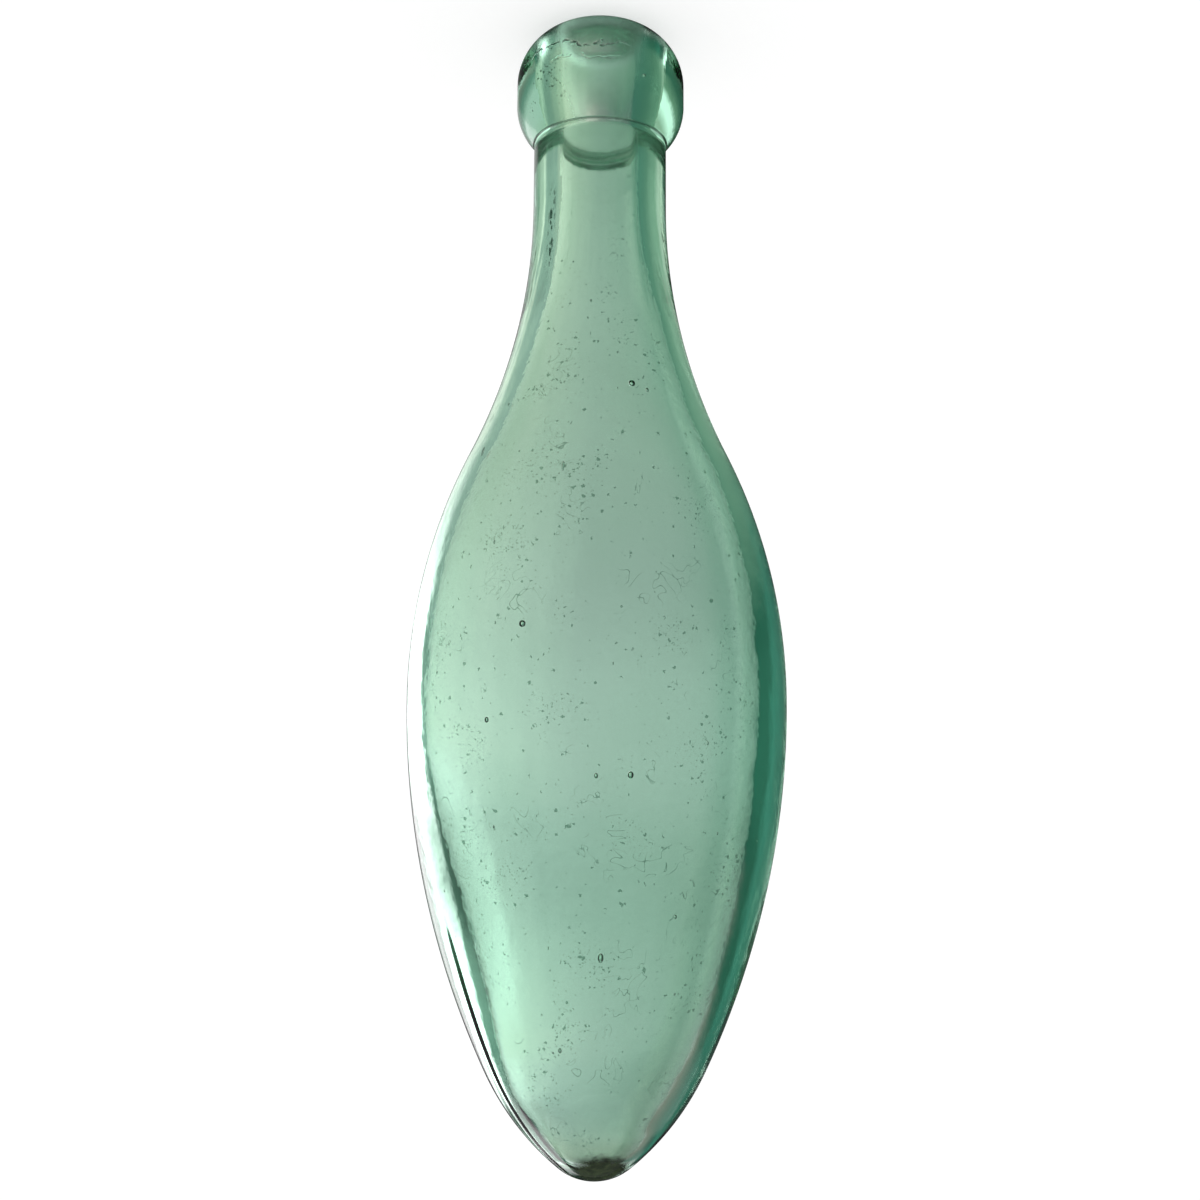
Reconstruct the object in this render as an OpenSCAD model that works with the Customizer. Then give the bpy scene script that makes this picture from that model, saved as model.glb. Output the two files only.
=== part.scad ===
// Pointed-end mineral water bottle, blown in a mould and finished by hand.
// It is one thick piece of glass: a long point that lets it lie on its side
// and keep its cork wet, a swept shoulder, a straight neck, and a heavy lip
// that was wound on while hot and tooled round. It has no foot, so it is drawn
// as it can stand unheld: on the flat of its lip, with the point up.
// The origin is the centre of the mouth, on that flat.

/* [Lip] */
// Diameter of the lip at its widest
lip_d = 33.8; // [32:0.1:37]
// Diameter of the flat ring round the mouth, which the bottle stands on
lip_flat_d = 20; // [19:0.1:22]
// Radius of the edge between that flat and the crown of the lip
lip_edge_r = 1; // [0.5:0.1:2]
// Radius of the crown, from the flat out to the widest part
lip_crown_r = 11.9; // [10.5:0.1:13.5]
// Height of the straight band round the lip
lip_band_h = 4.2; // [1:0.1:7]
// Radius of the underside, from the band in to the neck
lip_under_r = 10.8; // [8:0.1:13]

/* [Neck] */
// Diameter of the neck
neck_d = 26.6; // [24:0.1:28]
// Height at which the neck starts to flare
neck_len = 36.5; // [30:0.5:48]
// Radius of the sweep that carries the neck into the shoulder
flare_r = 118; // [95:1:140]

/* [Body] */
// Diameter of the body at its widest
body_d = 72.4; // [66:0.2:78]
// Radius of the shoulder, from the sweep to the widest part
shoulder_r = 108; // [90:1:130]
// Length from the widest part to the tip of the point
point_len = 88.5; // [82:0.5:98]
// Radius of the long belly of the point
belly_r = 159; // [148:1:175]
// Length of the blunter end of the point
blunt_len = 19.7; // [16:0.1:24]
// Radius of the nose
nose_r = 10.8; // [9.5:0.1:12.5]

/* [Cavity] */
// Diameter of the bore through the lip and the neck
bore_d = 16.2; // [15:0.1:17]
// Radius of the rim of the mouth
mouth_r = 0.8; // [0.4:0.1:1]
// Thickness of the glass round the widest part
belly_wall = 4.5; // [3.6:0.1:6]
// Thickness of the glass at the tip
tip_wall = 3.4; // [2.8:0.1:8]
// Radius of the cavity's own nose
cavity_nose_r = 9.5; // [8:0.1:11]
// How far the hot glass sagged to the point, which leaves the shoulder thinner
glass_sag = 3; // [1:0.1:4]

/* [Hidden] */
$fn = 180;
glass = [0.50, 0.72, 0.62, 0.55];
// Straight steps that each swept arc of the outline is drawn in
arc_steps = 16;
// Steps of the two small roundings at the mouth
rim_steps = 6;

lip_r = lip_d / 2;
flat_r = lip_flat_d / 2;
neck_r = neck_d / 2;
body_r = body_d / 2;
bore_r = bore_d / 2;

// Half the outline is a path of points [radius, height]. An arc goes on from
// where the path stands, so it leaves out its own first point.
function arc(centre, r, from, to, steps = arc_steps) =
    [for (i = [1 : steps]) let (a = from + (to - from) * i / steps) centre + r * [cos(a), sin(a)]];
// Height in which a sweep of radius a, leaving radius r0 upright, and a shoulder
// of radius b, reaching radius r1 upright, follow each other smoothly
function climb(a, b, r0, r1) = sqrt(pow(a + b, 2) - pow(r0 + a + b - r1, 2));
// Direction in which the centre of one arc sees the centre of the next
function facing(from, to) = atan2(to[1] - from[1], to[0] - from[0]);

// Lip, from the rim of the mouth out and up to the crease over the neck
crown_x = lip_r - lip_crown_r;
crown_z = lip_edge_r + sqrt(pow(lip_crown_r - lip_edge_r, 2) - pow(flat_r - crown_x, 2));
edge_lean = facing([crown_x, crown_z], [flat_r, lip_edge_r]);
band_z = crown_z + lip_band_h;
under_x = lip_r - lip_under_r;
under_lean = acos((neck_r - under_x) / lip_under_r);
function lip_outline() = concat(
    [[flat_r, 0]],
    arc([flat_r, lip_edge_r], lip_edge_r, -90, edge_lean, rim_steps),
    arc([crown_x, crown_z], lip_crown_r, edge_lean, 0),
    [[lip_r, band_z]],
    arc([under_x, band_z], lip_under_r, 0, under_lean));

// Neck, shoulder and belly, up to where the blunter end of the point starts
widest_z = neck_len + climb(flare_r, shoulder_r, neck_r, body_r);
turn = asin((widest_z - neck_len) / (flare_r + shoulder_r));
tip_z = widest_z + point_len;
blunt_z = tip_z - blunt_len;
belly_c = [body_r - belly_r, widest_z];
blunt_lean = asin((blunt_z - widest_z) / belly_r);
// Blunter end: its arc leaves the belly smoothly and runs smoothly into the nose
blunt_start = belly_c + belly_r * [cos(blunt_lean), sin(blunt_lean)];
blunt_in = [-cos(blunt_lean), -sin(blunt_lean)];
nose_c = [0, tip_z - nose_r];
from_nose = blunt_start - nose_c;
blunt_r = (pow(nose_r, 2) - from_nose * from_nose) / (2 * (from_nose * blunt_in + nose_r));
blunt_c = blunt_start + blunt_r * blunt_in;
nose_lean = facing(blunt_c, nose_c);
function body_outline() = concat(
    [[neck_r, neck_len]],
    arc([neck_r + flare_r, neck_len], flare_r, 180, 180 - turn),
    arc([body_r - shoulder_r, widest_z], shoulder_r, -turn, 0),
    arc(belly_c, belly_r, 0, blunt_lean),
    arc(blunt_c, blunt_r, blunt_lean, nose_lean),
    arc(nose_c, nose_r, nose_lean, 90));

// Cavity, from its own tip back down to the mouth: the same sweep and shoulder
// one wall in, set nearer the lip by the sag of the glass
in_flare_r = flare_r + belly_wall;
in_shoulder_r = shoulder_r - belly_wall;
in_body_r = body_r - belly_wall;
in_widest_z = widest_z - glass_sag;
in_flare_z = in_widest_z - climb(in_flare_r, in_shoulder_r, bore_r, in_body_r);
in_turn = asin((in_widest_z - in_flare_z) / (in_flare_r + in_shoulder_r));
in_tip_z = tip_z - tip_wall;
in_nose_c = [0, in_tip_z - cavity_nose_r];
in_rise = in_nose_c[1] - in_widest_z;
in_belly_r = (pow(in_body_r, 2) + pow(in_rise, 2) - pow(cavity_nose_r, 2)) / (2 * (in_body_r - cavity_nose_r));
in_belly_c = [in_body_r - in_belly_r, in_widest_z];
in_nose_lean = facing(in_belly_c, in_nose_c);
function cavity_outline() = concat(
    [[0, in_tip_z]],
    arc(in_nose_c, cavity_nose_r, 90, in_nose_lean),
    arc(in_belly_c, in_belly_r, in_nose_lean, 0),
    arc([in_body_r - in_shoulder_r, in_widest_z], in_shoulder_r, 0, -in_turn),
    arc([bore_r + in_flare_r, in_flare_z], in_flare_r, 180 - in_turn, 180),
    [[bore_r, mouth_r]],
    arc([bore_r + mouth_r, mouth_r], mouth_r, 180, 270, rim_steps));

module bottle() {
    color(glass) rotate_extrude()
        polygon(concat(lip_outline(), body_outline(), cavity_outline()));
}

bottle();
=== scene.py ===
import math
import random

import bmesh
import bpy
from mathutils import Matrix, Vector, noise


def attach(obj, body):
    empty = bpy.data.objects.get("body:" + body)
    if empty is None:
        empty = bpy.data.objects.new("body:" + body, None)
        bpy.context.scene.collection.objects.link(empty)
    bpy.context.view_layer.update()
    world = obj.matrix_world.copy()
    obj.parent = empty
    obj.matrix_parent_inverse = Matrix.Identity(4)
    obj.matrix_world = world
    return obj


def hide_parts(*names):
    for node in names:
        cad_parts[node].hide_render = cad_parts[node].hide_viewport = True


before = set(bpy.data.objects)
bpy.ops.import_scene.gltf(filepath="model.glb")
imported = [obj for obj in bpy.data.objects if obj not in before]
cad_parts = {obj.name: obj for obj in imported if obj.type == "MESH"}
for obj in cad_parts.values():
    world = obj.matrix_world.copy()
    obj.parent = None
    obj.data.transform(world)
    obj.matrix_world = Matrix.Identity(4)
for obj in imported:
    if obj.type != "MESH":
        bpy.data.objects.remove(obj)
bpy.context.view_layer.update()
scene = bpy.context.scene


# The outside of the bottle. Hot aqua glass is blown into a two-part mould, which gives the
# long point, the belly and the swept shoulder; the heavy lip is then wound on and tooled
# round. The outline is drawn as half a section, in millimetres, from the mouth to the tip.
MM = 0.001
LIP_R = 16.9
LIP_FLAT_R = 10.0
LIP_EDGE_R = 1.0
LIP_CROWN_R = 11.9
LIP_BAND_H = 4.2
LIP_UNDER_R = 10.8
LIP_CREASE_R = 0.15
NECK_R = 13.3
NECK_TOP = 36.5
FLARE_R = 118.0
BODY_R = 36.2
SHOULDER_R = 108.0
POINT_LEN = 88.5
BELLY_R = 159.0
BLUNT_LEN = 19.7
NOSE_R = 10.8


def sweep(path, centre, radius, start, end, steps):
    """Carry the path on round an arc, from one angle to another in degrees."""
    for i in range(1, steps + 1):
        angle = math.radians(start + (end - start) * i / steps)
        path.append((centre[0] + radius * math.cos(angle), centre[1] + radius * math.sin(angle)))


def rise(path, to, steps):
    """Carry the path straight on to a point, in even steps."""
    start = path[-1]
    for i in range(1, steps + 1):
        t = i / steps
        path.append((start[0] + (to[0] - start[0]) * t, start[1] + (to[1] - start[1]) * t))


def facing(a, b):
    return math.degrees(math.atan2(b[1] - a[1], b[0] - a[0]))


def climb(low_r, high_r, start_r, end_r):
    """Height in which a sweep and the shoulder over it follow each other smoothly."""
    return math.sqrt((low_r + high_r) ** 2 - (start_r + low_r + high_r - end_r) ** 2)


crown = (LIP_R - LIP_CROWN_R,
         LIP_EDGE_R + math.sqrt((LIP_CROWN_R - LIP_EDGE_R) ** 2 - (LIP_FLAT_R - LIP_R + LIP_CROWN_R) ** 2))
edge = (LIP_FLAT_R, LIP_EDGE_R)
under = (LIP_R - LIP_UNDER_R, crown[1] + LIP_BAND_H)
crease_x = NECK_R + LIP_CREASE_R
crease = (crease_x, under[1] + math.sqrt((LIP_UNDER_R + LIP_CREASE_R) ** 2 - (crease_x - under[0]) ** 2))
widest_z = NECK_TOP + climb(FLARE_R, SHOULDER_R, NECK_R, BODY_R)
turn = math.degrees(math.asin((widest_z - NECK_TOP) / (FLARE_R + SHOULDER_R)))
tip_z = widest_z + POINT_LEN
belly = (BODY_R - BELLY_R, widest_z)
blunt_lean = math.degrees(math.asin((POINT_LEN - BLUNT_LEN) / BELLY_R))
blunt_way = Vector((math.cos(math.radians(blunt_lean)), math.sin(math.radians(blunt_lean))))
blunt_start = Vector(belly) + BELLY_R * blunt_way
nose = Vector((0.0, tip_z - NOSE_R))
from_nose = blunt_start - nose
blunt_r = (NOSE_R ** 2 - from_nose.length_squared) / (2 * (NOSE_R - from_nose.dot(blunt_way)))
blunt = blunt_start - blunt_r * blunt_way

outside = [(LIP_FLAT_R, 0.0)]
sweep(outside, edge, LIP_EDGE_R, -90, facing(crown, edge), 8)
sweep(outside, crown, LIP_CROWN_R, facing(crown, edge), 0, 36)
rise(outside, (LIP_R, under[1]), 8)
sweep(outside, under, LIP_UNDER_R, 0, facing(under, crease), 30)
sweep(outside, crease, LIP_CREASE_R, facing(crease, under), 180, 8)
rise(outside, (NECK_R, NECK_TOP), 8)
sweep(outside, (NECK_R + FLARE_R, NECK_TOP), FLARE_R, 180, 180 - turn, 36)
sweep(outside, (BODY_R - SHOULDER_R, widest_z), SHOULDER_R, -turn, 0, 36)
sweep(outside, belly, BELLY_R, 0, blunt_lean, 52)
sweep(outside, blunt, blunt_r, blunt_lean, facing(blunt, nose), 18)
sweep(outside, nose, NOSE_R, facing(blunt, nose), 90, 18)


# The hollow. Blowing leaves the wall uneven: thin on the shoulder, and thick by the point, where
# the hot glass sagged. The bore through the neck and the lip is straight, with a rounded rim.
BORE_R = 8.1
MOUTH_R = 0.8
BELLY_WALL = 4.5
TIP_WALL = 3.4
HOLLOW_NOSE_R = 9.5
SAG = 3.0

in_flare_r = FLARE_R + BELLY_WALL
in_shoulder_r = SHOULDER_R - BELLY_WALL
in_body_r = BODY_R - BELLY_WALL
in_widest_z = widest_z - SAG
in_flare_z = in_widest_z - climb(in_flare_r, in_shoulder_r, BORE_R, in_body_r)
in_turn = math.degrees(math.asin((in_widest_z - in_flare_z) / (in_flare_r + in_shoulder_r)))
in_nose = (0.0, tip_z - TIP_WALL - HOLLOW_NOSE_R)
in_rise = in_nose[1] - in_widest_z
in_belly_r = (in_body_r ** 2 + in_rise ** 2 - HOLLOW_NOSE_R ** 2) / (2 * (in_body_r - HOLLOW_NOSE_R))
in_belly = (in_body_r - in_belly_r, in_widest_z)

hollow = [(0.0, tip_z - TIP_WALL)]
sweep(hollow, in_nose, HOLLOW_NOSE_R, 90, facing(in_belly, in_nose), 16)
sweep(hollow, in_belly, in_belly_r, facing(in_belly, in_nose), 0, 60)
sweep(hollow, (in_body_r - in_shoulder_r, in_widest_z), in_shoulder_r, 0, -in_turn, 36)
sweep(hollow, (BORE_R + in_flare_r, in_flare_z), in_flare_r, 180 - in_turn, 180, 36)
rise(hollow, (BORE_R, MOUTH_R), 30)
sweep(hollow, (BORE_R + MOUTH_R, MOUTH_R), MOUTH_R, 180, 270, 6)
hollow_up = hollow[::-1]


# The wall at a few heights, measured level: height and thickness. One side (+X) is thin down
# the belly and has the thick slump of glass by the point, and the other is more even.
WALL_LEFT = [(30, 5.2), (45, 4.3), (62, 3.5), (90, 3.4), (133, 3.5), (145, 3.8), (156, 4.6),
             (165, 5.6), (173, 6.4), (180, 6.8), (187, 6.7), (194, 6.1), (202, 4.9), (209, 4.2),
             (213, 4.4), (217, 4.4)]
WALL_RIGHT = [(30, 5.2), (45, 4.4), (62, 3.6), (90, 3.8), (115, 4.6), (135, 5.0), (160, 5.4),
              (178, 5.8), (192, 5.4), (201, 5.1), (208, 5.1), (213, 5.0), (217, 4.4)]
WALL_FROM = 30
WALL_TO = 219
ROLL_DEPTH = 0.16
DRAW_DEPTH = 0.07
FINE_DRAW_DEPTH = 0.025
DRAWN_FROM = 4
DRAWN_TO = tip_z - 14


def along(table, z):
    """The value at one height, on a smooth curve through the entries of a table."""
    if z <= table[0][0]:
        return table[0][1]
    if z >= table[-1][0]:
        return table[-1][1]
    slopes = [0.0]
    for before, after in zip(table, table[2:]):
        slopes.append((after[1] - before[1]) / (after[0] - before[0]))
    slopes.append(0.0)
    for i in range(len(table) - 1):
        low, a = table[i]
        high, b = table[i + 1]
        if z <= high:
            step = high - low
            t = (z - low) / step
            return (a * (1 + 2 * t) * (1 - t) ** 2 + b * t * t * (3 - 2 * t)
                    + step * t * (1 - t) * (slopes[i] * (1 - t) - slopes[i + 1] * t))


def radius_at(path, z):
    """Radius of the outline at one height."""
    for (r0, z0), (r1, z1) in zip(path, path[1:]):
        if z0 <= z <= z1 and z1 > z0:
            return r0 + (r1 - r0) * (z - z0) / (z1 - z0)
    return 0.0


def part_way(distance, length):
    """Share of a length that a distance covers, held between 0 and 1."""
    return min(1, max(0, distance / length))


def wander(z):
    """How far the hollow's surface lies out of its plain outline at one height, by the angle.

    The wall's two sides and a slow roll shape the body, and both fade out in the neck and at the
    tip. Fine lengthwise waves, from the drawing of the glass, go on into the bore.
    """
    in_body = part_way(z - WALL_FROM, 30) * part_way(WALL_TO - z, 3)
    in_bore = part_way(z - DRAWN_FROM, 12) * part_way(DRAWN_TO - z, 40)
    left = along(WALL_LEFT, z)
    right = along(WALL_RIGHT, z)
    middle = radius_at(outside, z) - (left + right) / 2 - radius_at(hollow_up, z)

    def shift(angle):
        x = math.cos(angle)
        y = math.sin(angle)
        roll = ROLL_DEPTH * noise.noise(Vector((x * 1.5, y * 1.5, z * 0.02)))
        draw = DRAW_DEPTH * noise.noise(Vector((x * 3.1, y * 3.1, z * 0.004)))
        draw += FINE_DRAW_DEPTH * noise.noise(Vector((x * 9, y * 9, z * 0.008 + 7)))
        return (middle - (left - right) / 2 * x + roll) * in_body + draw * in_bore

    return shift


TURNS = 180


def ring(mesh, r, z, bend=None):
    """Add one level ring of points, in millimetres, bent in or out by the angle."""
    made = []
    for i in range(TURNS):
        angle = 2 * math.pi * i / TURNS
        out = r + (bend(angle) if bend else 0)
        made.append(mesh.verts.new((out * math.cos(angle) * MM, out * math.sin(angle) * MM, z * MM)))
    return made


def join_rings(mesh, a, b):
    """Close the band between two rings."""
    for i in range(TURNS):
        j = (i + 1) % TURNS
        mesh.faces.new((a[i], a[j], b[j], b[i]))


def close_ring(mesh, a, point, outward):
    """Close a ring on one point."""
    for i in range(TURNS):
        j = (i + 1) % TURNS
        mesh.faces.new((a[i], a[j], point) if outward else (a[j], a[i], point))


# Seeds, the bubbles that stayed in the glass: angle in degrees, height, depth under the outside,
# radius and stretch. A few large ones and a scatter of fine ones.
SEEDS = [(-116, 79.8, 1.4, 0.30, 1.5), (-108, 78.7, 1.6, 0.62, 1.1), (-92, 183.0, 2.2, 0.50, 1.7),
         (-90, 152.4, 1.8, 0.34, 1.4), (-100, 152.2, 1.9, 0.52, 1.2), (-57, 142.5, 1.5, 0.42, 1.2),
         (-68, 126.0, 1.6, 0.62, 1.0), (-33, 90.8, 1.5, 0.26, 4.0), (-77, 96.6, 1.5, 0.22, 4.5),
         (-118, 176.0, 2.4, 0.30, 1.3), (-74, 199.0, 1.8, 0.30, 1.6), (-84, 61.0, 1.9, 0.20, 1.6),
         (-124, 14.0, 2.6, 0.30, 1.0)]
FINE_SEEDS = 70
chance = random.Random(11)
for _ in range(FINE_SEEDS):
    height = chance.uniform(48, 204)
    SEEDS.append((chance.uniform(0, 360), height, chance.uniform(0.9, 2.4),
                  0.07 + 0.13 * chance.random() ** 2, chance.uniform(1.0, 2.2)))


def seed(mesh, angle, height, depth, size, stretch):
    """Leave one bubble in the wall."""
    way = math.radians(angle)
    out = radius_at(outside, height) - depth
    middle = Vector((out * math.cos(way), out * math.sin(way), height)) * MM
    shape = Matrix.Translation(middle) @ Matrix.Diagonal((size * MM, size * MM, size * stretch * MM, 1))
    made = bmesh.ops.create_uvsphere(mesh, u_segments=14, v_segments=10, radius=1.0, matrix=shape)
    walls = {face for vert in made["verts"] for face in vert.link_faces}
    for face in walls:
        face.normal_flip()


glass_mesh = bmesh.new()
in_hollow = glass_mesh.verts.layers.float.new("in_hollow")
for bubble in SEEDS:
    seed(glass_mesh, *bubble)

outer_rings = [ring(glass_mesh, r, z) for r, z in outside[:-1]]
for low, high in zip(outer_rings, outer_rings[1:]):
    join_rings(glass_mesh, low, high)
tip_point = glass_mesh.verts.new((0, 0, tip_z * MM))
close_ring(glass_mesh, outer_rings[-1], tip_point, True)

# The hollow's own surface is marked, all but the rim of the mouth, for the lime that dried there.
RIM_STEPS = 6
hollow_rings = [ring(glass_mesh, r, z, wander(z)) for r, z in hollow[1:]]
hollow_tip = glass_mesh.verts.new((0, 0, hollow[0][1] * MM))
hollow_tip[in_hollow] = 1
for hollow_ring in hollow_rings[:-RIM_STEPS]:
    for vert in hollow_ring:
        vert[in_hollow] = 1
close_ring(glass_mesh, hollow_rings[0], hollow_tip, False)
for high, low in zip(hollow_rings, hollow_rings[1:]):
    join_rings(glass_mesh, high, low)
join_rings(glass_mesh, hollow_rings[-1], outer_rings[0])

bottle_mesh = bpy.data.meshes.new("bottle_glass")
glass_mesh.to_mesh(bottle_mesh)
glass_mesh.free()
for face in bottle_mesh.polygons:
    face.use_smooth = True
bottle = bpy.data.objects.new("bottle_glass", bottle_mesh)
scene.collection.objects.link(bottle)

aqua = bpy.data.materials.new("aqua_glass")
aqua.use_nodes = True
glaze = aqua.node_tree


def add_node(tree, kind, inputs=None, **settings):
    """Add a node, with its settings, and with plain values or other nodes' outputs as inputs."""
    node = tree.nodes.new(kind)
    for name, value in settings.items():
        setattr(node, name, value)
    for name, value in (inputs or {}).items():
        if isinstance(value, bpy.types.NodeSocket):
            tree.links.new(value, node.inputs[name])
        else:
            node.inputs[name].default_value = value
    return node


def figure(tree, operation, *values):
    """A sum on numbers."""
    return add_node(tree, "ShaderNodeMath", dict(enumerate(values)), operation=operation).outputs[0]


def product(tree, first, *others):
    """Where all of the masks hold."""
    for other in others:
        first = figure(tree, "MULTIPLY", first, other)
    return first


def largest(tree, first, *others):
    """Where any of the masks holds."""
    for other in others:
        first = figure(tree, "MAXIMUM", first, other)
    return first


def away(tree, value, middle):
    """How far a value is from a middle one, either way."""
    return figure(tree, "ABSOLUTE", figure(tree, "SUBTRACT", value, middle))


def grain(tree, where, scale, detail=2.0, **more):
    """Noise, between 0 and 1, with the given number of lumps in a metre."""
    inputs = {"Vector": where, "Scale": scale, "Detail": detail}
    inputs.update(more)
    return add_node(tree, "ShaderNodeTexNoise", inputs).outputs["Fac"]


def between(tree, value, low, high, start=0.0, end=1.0):
    """Ease from start to end while the value goes from low to high."""
    return add_node(tree, "ShaderNodeMapRange", {"Value": value, "From Min": low, "From Max": high,
                                                 "To Min": start, "To Max": end},
                    interpolation_type="SMOOTHSTEP").outputs["Result"]


def layer(tree, share, under, over):
    """Lay one colour over another, by a share."""
    return add_node(tree, "ShaderNodeMix", {0: share, 6: under, 7: over}, data_type="RGBA").outputs[2]


def lengthwise(tree, where, share):
    """The same place with its height cut to a share, so that a pattern there is drawn out."""
    return add_node(tree, "ShaderNodeMapping", {"Vector": where, "Scale": (1, 1, share)}).outputs["Vector"]


def specks(tree, where, scale, share, size):
    """Mask of ragged specks. Only a share of the pattern's cells has one."""
    shake = add_node(tree, "ShaderNodeTexNoise", {"Vector": where, "Scale": scale * 2.4, "Detail": 2.0})
    moved = add_node(tree, "ShaderNodeVectorMath", {0: shake.outputs["Color"], 1: (0.5, 0.5, 0.5)},
                     operation="SUBTRACT").outputs[0]
    ragged = add_node(tree, "ShaderNodeVectorMath", {0: moved, 1: (0.9 / scale,) * 3, 2: where},
                      operation="MULTIPLY_ADD").outputs[0]
    cells = add_node(tree, "ShaderNodeTexVoronoi", {"Vector": ragged, "Scale": scale})
    kinds = add_node(tree, "ShaderNodeSeparateColor", {"Color": cells.outputs["Color"]})
    there = figure(tree, "LESS_THAN", kinds.outputs["Red"], share)
    reach = figure(tree, "MULTIPLY_ADD", kinds.outputs["Green"], size, size * 0.3)
    close = figure(tree, "SUBTRACT", reach, cells.outputs["Distance"])
    return figure(tree, "MULTIPLY", there, between(tree, close, 0.0, 0.08))


# The glass itself is a clear aqua that deepens with the way through it. Lengths in the pattern
# are in metres from here on, and patterns are given in lumps or cells to the metre.
GLASS_DEEP = (0.045, 0.545, 0.30, 1)
GLASS_DEPTH = 30.0
GLASS_IOR = 1.52
GLASS_CLEAN = (0.755, 0.875, 0.815, 1)
GLASS_FILMED = (0.725, 0.852, 0.785, 1)
GLASS_HAZED = (0.50, 0.56, 0.44, 1)
LIME_DIRT = (0.13, 0.24, 0.18, 1)
BLACK_DIRT_AND_SHADE = (0.015, 0.035, 0.025, 1)

spot = add_node(glaze, "ShaderNodeTexCoord").outputs["Object"]
apart = add_node(glaze, "ShaderNodeSeparateXYZ", {"Vector": spot})
up = apart.outputs["Z"]
turned_to = figure(glaze, "ARCTAN2", apart.outputs["Y"], apart.outputs["X"])
hollow_side = add_node(glaze, "ShaderNodeAttribute", attribute_name="in_hollow").outputs["Fac"]
outer_side = figure(glaze, "SUBTRACT", 1.0, hollow_side)

# Lime and dirt dried on inside, in specks that gather in drifts and in short fine hairs, with a
# thin uneven film. There is little in the lip and the neck, and a brown haze in the very tip.
DRIFT_LUMPS = 70.0
LIME_CELLS = 1250.0
FINE_LIME_CELLS = 2600.0
LIME_SIZE = 0.40
HAIR_LUMPS = 170.0
HAIR_PLACES = 95.0
FILM_LUMPS = 60.0

drifts = between(glaze, grain(glaze, spot, DRIFT_LUMPS, 4.0), 0.53, 0.72, 0.015, 0.42)
lime = specks(glaze, spot, LIME_CELLS, drifts, LIME_SIZE)
fine_lime = figure(glaze, "MULTIPLY", specks(glaze, spot, FINE_LIME_CELLS, drifts, LIME_SIZE), 0.7)
hair_field = grain(glaze, spot, HAIR_LUMPS, 1.0, Distortion=1.6)
hair = product(glaze, between(glaze, away(glaze, hair_field, 0.5), 0.0, 0.010, 1.0, 0.0),
               between(glaze, grain(glaze, spot, HAIR_PLACES, 0.0), 0.68, 0.71))
dirt = product(glaze, largest(glaze, lime, fine_lime, hair), hollow_side,
               between(glaze, up, 0.018, 0.065, 0.15, 1.0))
film = between(glaze, grain(glaze, lengthwise(glaze, spot, 0.5), FILM_LUMPS, 4.0), 0.3, 0.7)
haze = product(glaze, between(glaze, up, 0.2115, 0.2175, 0.0, 0.75), hollow_side)
clean = layer(glaze, haze, layer(glaze, film, GLASS_CLEAN, GLASS_FILMED), GLASS_HAZED)
limy = layer(glaze, dirt, clean, LIME_DIRT)

# A fold runs part of the way round the lip, where the hot thread of glass closed on itself. It
# wanders up and down, is broken here and there, and is dark with dirt.
FOLD_LOW = 0.0054
FOLD_RISE = 0.0070
fold_height = figure(glaze, "MULTIPLY_ADD", grain(glaze, spot, 190.0, 3.0), FOLD_RISE, FOLD_LOW)
fold_ends = product(glaze, between(glaze, turned_to, -0.40, -0.55), between(glaze, turned_to, -2.05, -1.75))
fold = product(glaze, between(glaze, away(glaze, up, fold_height), 0.00009, 0.00030, 1.0, 0.0),
               fold_ends, between(glaze, grain(glaze, spot, 520.0, 2.0), 0.42, 0.50))

# Dirt sits in pits of the lip, most of them on one side, and in a streak of long pits down the
# neck. The crease under the lip is darkened in a thin line of painted shade.
PIT_CELLS = 1900.0
LONG_PIT_CELLS = 1500.0
STREAK_WAY = -0.80
pitted = between(glaze, grain(glaze, spot, 150.0, 2.0), 0.50, 0.66, 0.0, 0.6)
lip_grime = product(glaze, specks(glaze, spot, PIT_CELLS, pitted, 0.42), between(glaze, up, 0.0215, 0.019),
                    between(glaze, turned_to, -1.35, -0.95, 0.12, 1.0))
# Painted shade: a thin dark line along the crease under the lip.
crease_painted_shade = between(glaze, away(glaze, up, crease[1] * MM), 0.00010, 0.00034, 0.8, 0.0)
neck_grime = product(glaze, specks(glaze, lengthwise(glaze, spot, 0.35), LONG_PIT_CELLS, 0.85, 0.62),
                     between(glaze, away(glaze, turned_to, STREAK_WAY), 0.03, 0.10, 1.0, 0.0),
                     between(glaze, up, 0.034, 0.038), between(glaze, up, 0.055, 0.050))
dirt_and_crease_shade = product(glaze, largest(glaze, fold, lip_grime, neck_grime, crease_painted_shade), outer_side)

# The seam of the mould is a low ridge down one flank, worn away towards the neck. It follows a
# plane through the axis, which wanders a little.
SEAM_WAY = math.radians(-27)
SEAM_WANDER = 0.0008
SEAM_HALF = 0.0023
aside = figure(glaze, "ADD", figure(glaze, "MULTIPLY", apart.outputs["X"], -math.sin(SEAM_WAY)),
               figure(glaze, "MULTIPLY", apart.outputs["Y"], math.cos(SEAM_WAY)))
aside = figure(glaze, "ADD", aside, figure(glaze, "MULTIPLY_ADD", grain(glaze, spot, 60.0, 1.0),
                                           SEAM_WANDER, -SEAM_WANDER / 2))
seam = product(glaze, between(glaze, figure(glaze, "ABSOLUTE", aside), 0.0001, SEAM_HALF, 1.0, 0.0),
               outer_side, between(glaze, up, 0.172, 0.190), between(glaze, apart.outputs["X"], 0.0, 0.002))

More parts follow.
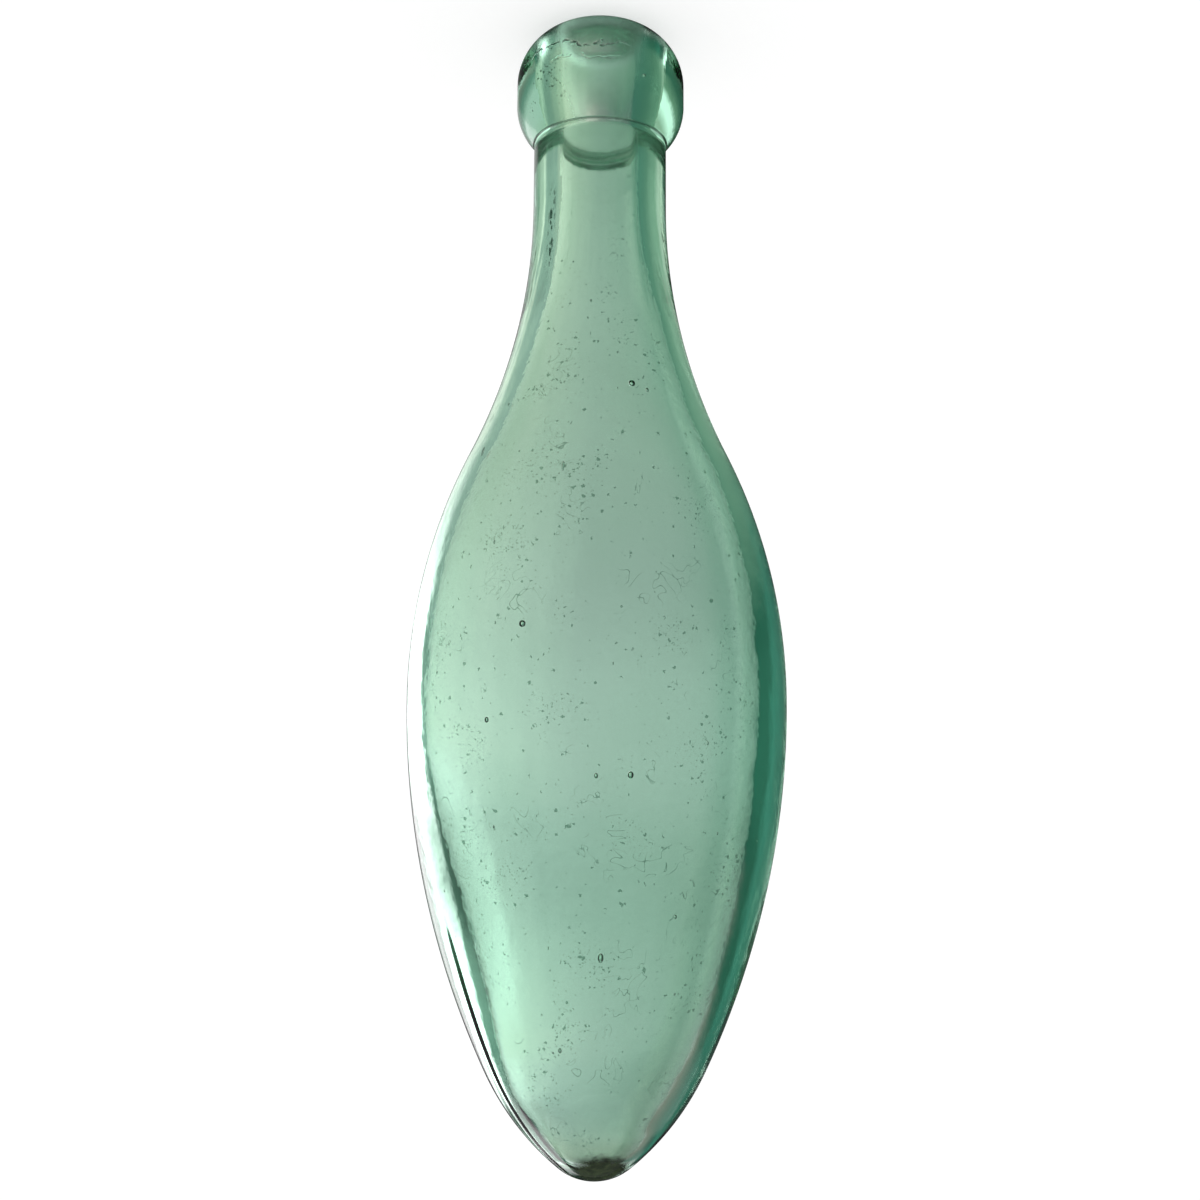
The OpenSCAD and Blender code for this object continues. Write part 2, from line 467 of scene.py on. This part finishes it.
# The skin of the glass: drawn lengthwise on the neck, faintly dimpled by the mould elsewhere,
# with the ridge of the seam and the groove of the fold.
SKIN_DEPTH = 0.00006
DRAWN_SHARE = 0.55
SEAM_RISE = 6.5
FOLD_SINK = -1.5
drawn = product(glaze, grain(glaze, lengthwise(glaze, spot, 0.03), 620.0, 2.0),
                between(glaze, up, 0.085, 0.045))
skin = figure(glaze, "MULTIPLY_ADD", drawn, DRAWN_SHARE, grain(glaze, spot, 150.0, 3.0))
skin = figure(glaze, "MULTIPLY_ADD", seam, SEAM_RISE, skin)
skin = figure(glaze, "MULTIPLY_ADD", fold, FOLD_SINK, skin)
bumps = add_node(glaze, "ShaderNodeBump", {"Strength": 1.0, "Distance": SKIN_DEPTH, "Height": skin})

# The flat of the lip and the rim of its mouth are ground dull by wear, and the bore is dull with
# dried lime.
ground = between(glaze, up, 0.0016, 0.0007, 0.0, 0.42)
limed = product(glaze, hollow_side, between(glaze, up, 0.034, 0.020, 0.0, 0.26))

glass = glaze.nodes["Principled BSDF"]
# The dark colour is dirt on the fold, the lip and the neck, and painted shade in the crease.
glaze.links.new(layer(glaze, dirt_and_crease_shade, limy, BLACK_DIRT_AND_SHADE), glass.inputs["Base Color"])
glaze.links.new(bumps.outputs["Normal"], glass.inputs["Normal"])
glaze.links.new(largest(glaze, ground, limed), glass.inputs["Roughness"])
glass.inputs["IOR"].default_value = GLASS_IOR
glass.inputs["Transmission Weight"].default_value = 1.0
tint = add_node(glaze, "ShaderNodeVolumeAbsorption", {"Color": GLASS_DEEP, "Density": GLASS_DEPTH})
glaze.links.new(tint.outputs["Volume"], glaze.nodes["Material Output"].inputs["Volume"])
bottle_mesh.materials.append(aqua)
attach(bottle, "root")
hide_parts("bottle")


# What the last drink left: a thin cake of brown silt, dried on in the end of the point. It
# gathered on one side, where the bottle lay, clings to the glass and thins out to a ragged rim.
# Its middle and its reach are angles round the middle of the hollow's nose.
SILT_LEAN = 0.27
SILT_ASIDE = 0.11
SILT_ACROSS = 0.58
SILT_ALONG = 0.66
SILT_RAGGED = 0.10
SILT_DEPTH = 0.4
SILT_THIN = 0.02
SILT_GRIP = 0.10
SILT_RINGS = 14
SILT_DARK = (0.042, 0.055, 0.024, 1)
SILT_BROWN = (0.095, 0.112, 0.050, 1)
SILT_CRUMB = (0.12, 0.12, 0.06, 1)

silt_mesh = bmesh.new()
to_rim = silt_mesh.verts.layers.float.new("to_rim")
silt_out = Vector((-SILT_ASIDE, -math.sin(SILT_LEAN), math.cos(SILT_LEAN))).normalized()
silt_side = silt_out.cross(Vector((0, -1, 0))).normalized()
silt_up = silt_side.cross(silt_out)
silt_middle = Vector((0, 0, in_nose[1]))


def silt_ring(share, radius):
    """One ring of the cake, a share of the way to its rim."""
    made = []
    for i in range(TURNS):
        way = 2 * math.pi * i / TURNS
        reach = 1 / math.hypot(math.cos(way) / SILT_ACROSS, math.sin(way) / SILT_ALONG)
        reach *= 1 + SILT_RAGGED * noise.noise(Vector((math.cos(way) * 2, math.sin(way) * 2, 3.0)))
        off = reach * share
        side = math.cos(way) * silt_side + math.sin(way) * silt_up
        point = silt_middle + radius * (math.cos(off) * silt_out + math.sin(off) * side)
        vert = silt_mesh.verts.new(point * MM)
        vert[to_rim] = share
        made.append(vert)
    return made


silt_under_r = HOLLOW_NOSE_R + SILT_GRIP
silt_rim_r = HOLLOW_NOSE_R - SILT_THIN
silt_rings = []
for i in range(1, SILT_RINGS + 1):
    silt_rings.append(silt_ring(i / SILT_RINGS, silt_under_r))
for i in range(SILT_RINGS, 0, -1):
    share = i / SILT_RINGS
    silt_rings.append(silt_ring(share, silt_rim_r - SILT_DEPTH * (1 - share ** 2)))
for low, high in zip(silt_rings, silt_rings[1:]):
    join_rings(silt_mesh, low, high)
silt_front = silt_mesh.verts.new((silt_middle + silt_under_r * silt_out) * MM)
silt_back = silt_mesh.verts.new((silt_middle + (silt_rim_r - SILT_DEPTH) * silt_out) * MM)
close_ring(silt_mesh, silt_rings[0], silt_front, False)
close_ring(silt_mesh, silt_rings[-1], silt_back, True)
bmesh.ops.recalc_face_normals(silt_mesh, faces=silt_mesh.faces)
silt_data = bpy.data.meshes.new("dried_silt")
silt_mesh.to_mesh(silt_data)
silt_mesh.free()
for face in silt_data.polygons:
    face.use_smooth = True
silt = bpy.data.objects.new("dried_silt", silt_data)
scene.collection.objects.link(silt)

mud = bpy.data.materials.new("dried_silt")
mud.use_nodes = True
cake = mud.node_tree
# Its crumbs are a shade paler, and towards the rim it thins out until the glass shows through.
spot = add_node(cake, "ShaderNodeTexCoord").outputs["Object"]
lumps = grain(cake, spot, 900.0, 4.0)
crumbs = grain(cake, spot, 3200.0, 3.0)
tone = layer(cake, between(cake, lumps, 0.35, 0.65), SILT_DARK, SILT_BROWN)
crumbled = layer(cake, between(cake, crumbs, 0.58, 0.70, 0.0, 0.4), tone, SILT_CRUMB)
rough = add_node(cake, "ShaderNodeBump", {"Strength": 0.8, "Distance": 0.0002, "Height": crumbs})
share_out = add_node(cake, "ShaderNodeAttribute", attribute_name="to_rim").outputs["Fac"]
ragged = figure(cake, "MULTIPLY_ADD", figure(cake, "SUBTRACT", lumps, 0.5), 0.45, share_out)
earth = cake.nodes["Principled BSDF"]
cake.links.new(crumbled, earth.inputs["Base Color"])
cake.links.new(rough.outputs["Normal"], earth.inputs["Normal"])
cake.links.new(between(cake, ragged, 0.45, 1.0, 1.0, 0.0), earth.inputs["Alpha"])
earth.inputs["Roughness"].default_value = 0.95
earth.inputs["Specular IOR Level"].default_value = 0.1
silt_data.materials.append(mud)
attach(silt, "root")


# The white cove that the bottle stands in: a round table top that curves up into a wall. It
# isn't part of the bottle. The eye sees it white, with the bottle's soft shadow. Through the
# glass it shows a painted glow, bright as from a window on one side, dim across.
COVE_R = 1.6
COVE_BEND = 0.5
COVE_BEND_STEPS = 12
COVE_TOP = 2.2
FLOOR_GAP = 0.00005

cove_bend_from = COVE_R - COVE_BEND
cove_path = [(0.12, 0.0), (0.3, 0.0), (0.6, 0.0), (cove_bend_from, 0.0)]
sweep(cove_path, (cove_bend_from, COVE_BEND), COVE_BEND, -90, 0, COVE_BEND_STEPS)
cove_path.append((COVE_R, COVE_TOP))
cove_mesh = bmesh.new()
cove_rings = [ring(cove_mesh, r / MM, (z - FLOOR_GAP) / MM) for r, z in cove_path]
cove_mesh.faces.new(cove_rings[0])
for low, high in zip(cove_rings, cove_rings[1:]):
    join_rings(cove_mesh, low, high)
bmesh.ops.recalc_face_normals(cove_mesh, faces=cove_mesh.faces)
cove_data = bpy.data.meshes.new("white_cove")
cove_mesh.to_mesh(cove_data)
cove_mesh.free()
for face in cove_data.polygons:
    face.use_smooth = True
cove = bpy.data.objects.new("white_cove", cove_data)
scene.collection.objects.link(cove)

paper = bpy.data.materials.new("white_paper")
paper.use_nodes = True
paper.cycles.emission_sampling = "NONE"
sheet = paper.node_tree
sheet.nodes.remove(sheet.nodes["Principled BSDF"])
place = add_node(sheet, "ShaderNodeTexCoord").outputs["Object"]
split = add_node(sheet, "ShaderNodeSeparateXYZ", {"Vector": place})
from_middle = figure(sheet, "SQRT", figure(sheet, "ADD", figure(sheet, "POWER", split.outputs["X"], 2.0),
                                           figure(sheet, "POWER", split.outputs["Y"], 2.0)))

# The painted light on the cove goes by the way one looks, from 0 straight behind the bottle to 90 on
# the painted window's side and -90 on the dark side. A stop is an angle and its red, green and blue, or
# one number for a grey. Through the hollow, the far wall shows the painted window and the dark side.
# Higher up it is dimmer, but for the window. The table near the bottle brightens to the window's side.
BRIGHTEST = 6.0
FAR_THROUGH = [(-180, 0.85), (-90, 0.6), (-60, 0.30, 0.45, 0.40), (-40, 0.35, 0.50, 0.45),
               (0, 0.85), (27, 2.0, 2.0, 1.85), (38, 1.85), (44, 0.5, 0.75, 0.65),
               (60, 0.5, 0.75, 0.65), (90, 0.95), (180, 0.85)]
HIGH_THROUGH = [(-180, 0.7), (-90, 0.5, 0.55, 0.5), (-60, 0.25, 0.40, 0.35),
                (-40, 0.30, 0.40, 0.35), (-10, 0.45, 0.55, 0.50), (5, 0.80, 0.85, 0.85),
                (12, 1.25), (18, 2.0), (30, 2.2), (38, 1.9), (44, 0.5, 0.75, 0.65),
                (60, 0.5, 0.75, 0.65), (90, 0.8), (180, 0.7)]
NEAR_THROUGH = [(-180, 0.7), (-100, 0.5), (-75, 0.30, 0.50, 0.45), (-50, 0.35, 0.55, 0.45),
                (0, 0.70, 0.75, 0.70), (20, 1.0, 1.0, 0.9), (80, 2.75, 2.35, 2.2), (100, 0.9),
                (180, 0.7)]
# The solid glass of the lip bends the light most, and shows more of both sides of the painted light.
LIP_THROUGH = [(-180, 0.6), (-62, 1.5), (-52, 0.65, 0.60, 0.55), (-40, 0.40, 0.50, 0.45),
               (-30, 0.40, 0.60, 0.55), (-19, 1.3), (-6, 1.3), (3, 1.0, 1.1, 0.95), (8, 2.6),
               (14, 2.6), (19, 0.50, 0.70, 0.55), (36, 0.12, 0.30, 0.23), (56, 0.10, 0.24, 0.18),
               (80, 0.35, 0.40, 0.35), (180, 0.6)]
# Painted light for rays turned back inside the wall, as along the edges of the bottle: a deep aqua
# glow on the dark side, and the painted window in a bright line.
FAR_TURNED = [(-180, 0.65), (-120, 0.55), (-85, 0.15, 0.35, 0.30), (-60, 0.04, 0.20, 0.14),
              (-38, 0.04, 0.20, 0.14), (-30, 0.09, 0.38, 0.30), (-16, 0.08, 0.34, 0.26),
              (-6, 0.04, 0.12, 0.09), (4, 0.04, 0.12, 0.09), (8, 0.6), (13, 3.0), (20, 4.5),
              (41, 4.5), (46, 0.20, 0.45, 0.35), (60, 0.20, 0.45, 0.35), (80, 0.9), (180, 0.7)]
NEAR_TURNED = [(-180, 0.6), (-125, 0.5), (-104, 0.10, 0.30, 0.25), (-60, 0.20, 0.40, 0.30),
               (-24, 0.42, 0.65, 0.50), (-8, 1.0, 1.1, 0.95), (10, 1.0, 1.1, 0.95),
               (22, 1.7, 1.7, 1.5), (32, 0.70, 0.85, 0.75), (44, 0.50, 0.65, 0.58),
               (64, 0.50, 0.65, 0.58), (90, 1.0, 1.05, 0.85), (102, 1.7, 1.6, 1.35), (180, 0.6)]
# Painted reflection on the outside of the glass: a strip of window, and little else.
PAINTED_MIRRORED = [(-180, 0.12), (-90, 0.06), (14, 0.05), (19, 0.8), (25, 2.2), (46, 2.2), (54, 0.5),
            (90, 0.2), (180, 0.12)]
# Level of the painted light by the way climbed, in metres from the middle out and then up the wall.
# The table is dim with a painted shadow of the bottle, and the wall fades to half at its top.
CLIMB_END = 4.0
CLIMBED = [(0, 0.30), (0.007, 0.32), (0.010, 0.62), (0.016, 0.78), (0.08, 0.90), (0.7, 0.80),
           (1.5, 1.0), (1.75, 1.0), (1.92, 0.87), (2.05, 0.72), (2.3, 0.58), (CLIMB_END, 0.5)]
# Painted light as from behind the camera, which comes back out of the edges after two turns in the wall.
PAINTED_BACK_LIGHT = (2.4 / BRIGHTEST, 1.7 / BRIGHTEST, 1.9 / BRIGHTEST, 1)


def run_of_colour(value, stops):
    """Colours along a value, from the first stop, at 0, to the last, at 1."""
    run = add_node(sheet, "ShaderNodeValToRGB", {"Fac": value})
    marks = run.color_ramp.elements
    for stop in stops[1:-1]:
        marks.new(stop[0])
    for mark, stop in zip(marks, stops):
        mark.color = (*stop[1], 1)
    return run.outputs["Color"]


way = figure(sheet, "MULTIPLY_ADD", figure(sheet, "ARCTAN2", split.outputs["X"], split.outputs["Y"]),
             0.5 / math.pi, 0.5)


def light_round(stops):
    """Painted light by the way one looks, as a share of the brightest."""
    shares = []
    for angle, *level in stops:
        if len(level) == 1:
            level = level * 3
        shares.append(((angle + 180) / 360, [part / BRIGHTEST for part in level]))
    return run_of_colour(way, shares)


def glow(colour, level):
    return add_node(sheet, "ShaderNodeEmission", {"Color": colour, "Strength": level}).outputs[0]


def either(share, first, second):
    """Show the first where the share is 0 and the second where it is 1."""
    return add_node(sheet, "ShaderNodeMixShader", {0: share, 1: first, 2: second}).outputs[0]


up_the_cove = figure(sheet, "MULTIPLY", figure(sheet, "ADD", from_middle, split.outputs["Z"]), 1 / CLIMB_END)
# Painted shadow of the bottle on the table, and a dimming up the wall.
painted_shadow_and_fade = run_of_colour(up_the_cove, [(climbed / CLIMB_END, [level] * 3) for climbed, level in CLIMBED])
strength = figure(sheet, "MULTIPLY", painted_shadow_and_fade, BRIGHTEST)
far = between(sheet, from_middle, 0.18, 0.75)
high = between(sheet, up_the_cove, 0.36, 0.48)
low = between(sheet, up_the_cove, 0.50, 0.60, 1.0, 0.0)
beside_mouth = between(sheet, from_middle, 0.0105, 0.013)
behind = between(sheet, away(sheet, way, 0.5), 0.33, 0.40)

# Which painted light a ray meets goes by how it came: straight through the lip alone, turned back
# within the wall once or more often, off the outside of the glass, or through it. Transmission Depth
# counts the surfaces gone through, and Glossy Depth the turns back.
look = add_node(sheet, "ShaderNodeLightPath")
lip_alone = product(sheet, figure(sheet, "LESS_THAN", look.outputs["Transmission Depth"], 2.5), beside_mouth)
wall_alone = figure(sheet, "LESS_THAN", look.outputs["Transmission Depth"], 3.5)
turned_once = product(sheet, figure(sheet, "GREATER_THAN", look.outputs["Glossy Depth"], 0.5),
                      wall_alone, low)
turned_again = figure(sheet, "GREATER_THAN", look.outputs["Glossy Depth"], 1.5)
lit_by_it = figure(sheet, "GREATER_THAN", look.outputs["Diffuse Depth"], 0.5)
in_or_on_glass = largest(sheet, look.outputs["Is Glossy Ray"], look.outputs["Is Transmission Ray"])
in_or_on_glass = product(sheet, in_or_on_glass, figure(sheet, "SUBTRACT", 1.0, lit_by_it))

# Painted light seen through the glass: a window on one side and a dark side, as a glow on the cove.
far_through = layer(sheet, high, light_round(FAR_THROUGH), light_round(HIGH_THROUGH))
through = layer(sheet, far, light_round(NEAR_THROUGH), far_through)
through = layer(sheet, lip_alone, through, light_round(LIP_THROUGH))
turned = layer(sheet, far, light_round(NEAR_TURNED), light_round(FAR_TURNED))
# Painted light, as from behind the camera, for light turned twice in the wall.
turned = layer(sheet, product(sheet, turned_again, behind), turned, PAINTED_BACK_LIGHT)
painted_light_in_glass = either(turned_once, glow(through, strength), glow(turned, strength))
# Painted reflection, shown only off the outside of the glass, dimmer near the bottle.
painted_reflection_level = figure(sheet, "MULTIPLY", between(sheet, from_middle, 0.15, 0.8, 0.3, 1.0), BRIGHTEST)
painted_reflection = glow(light_round(PAINTED_MIRRORED), painted_reflection_level)
painted_light_and_reflection = either(look.outputs["Is Transmission Ray"], painted_reflection, painted_light_in_glass)
around = either(in_or_on_glass, glow((1, 1, 1, 1), 0.85), painted_light_and_reflection)

# To the eye: white paper that takes the bottle's soft shadow.
card = add_node(sheet, "ShaderNodeBsdfDiffuse", {"Color": (0.45, 0.45, 0.45, 1)}).outputs[0]
to_eye = add_node(sheet, "ShaderNodeAddShader", {0: card, 1: glow((1, 1, 1, 1), 0.65)}).outputs[0]
sheet.links.new(either(look.outputs["Is Camera Ray"], around, to_eye),
                sheet.nodes["Material Output"].inputs["Surface"])
cove_data.materials.append(paper)


# The light of the room, soft and white. The outside of the glass shows a painted reflection of a dim
# ceiling, and light that was turned more than once in the wall shows a bright painted one.
ROOM_LIGHT = 1.0
PAINTED_MIRRORED_CEILING = 0.15
PAINTED_TURNED_CEILING = 3.0

world = bpy.data.worlds.new("room")
scene.world = world
world.use_nodes = True
world.cycles.sampling_method = "NONE"
room = world.node_tree
sky = room.nodes["Background"]
sky.inputs["Color"].default_value = (1, 1, 1, 1)
look_up = add_node(room, "ShaderNodeLightPath")
turned_up = product(room, look_up.outputs["Is Transmission Ray"],
                    figure(room, "GREATER_THAN", look_up.outputs["Glossy Depth"], 1.5),
                    figure(room, "LESS_THAN", look_up.outputs["Diffuse Depth"], 0.5))
off_glass = product(room, look_up.outputs["Is Glossy Ray"],
                    figure(room, "SUBTRACT", 1.0, look_up.outputs["Is Transmission Ray"]))
# Painted reflection of a dim ceiling off the glass, and painted light for light turned twice.
sky_with_painted_ceiling = figure(room, "MULTIPLY_ADD", off_glass, PAINTED_MIRRORED_CEILING - ROOM_LIGHT, ROOM_LIGHT)
sky_with_painted_ceiling = figure(room, "MULTIPLY_ADD", turned_up, PAINTED_TURNED_CEILING - ROOM_LIGHT, sky_with_painted_ceiling)
room.links.new(sky_with_painted_ceiling, sky.inputs["Strength"])


# The camera stands at the height of the belly and looks a little down. It is rolled half a
# turn, so that the lip, on which the bottle stands, is at the top of the picture.
LENS = 52.7
LOOKS_DOWN = math.radians(9.69)
ROLLED_BY = math.pi + 0.0057
STANDS_AT = (-0.0005, -0.335, 0.1734)

camera_data = bpy.data.cameras.new("camera")
camera_data.lens = LENS
camera_data.sensor_width = 36.0
camera = bpy.data.objects.new("camera", camera_data)
scene.collection.objects.link(camera)
scene.camera = camera
tilt = Matrix.Rotation(math.pi / 2 - LOOKS_DOWN, 4, "X")
roll = Matrix.Rotation(ROLLED_BY, 4, "Z")
camera.matrix_world = Matrix.Translation(STANDS_AT) @ tilt @ roll
scene.view_settings.view_transform = "Standard"
scene.cycles.max_bounces = 16
scene.cycles.transmission_bounces = 16
scene.cycles.glossy_bounces = 12

bpy.context.view_layer.update()
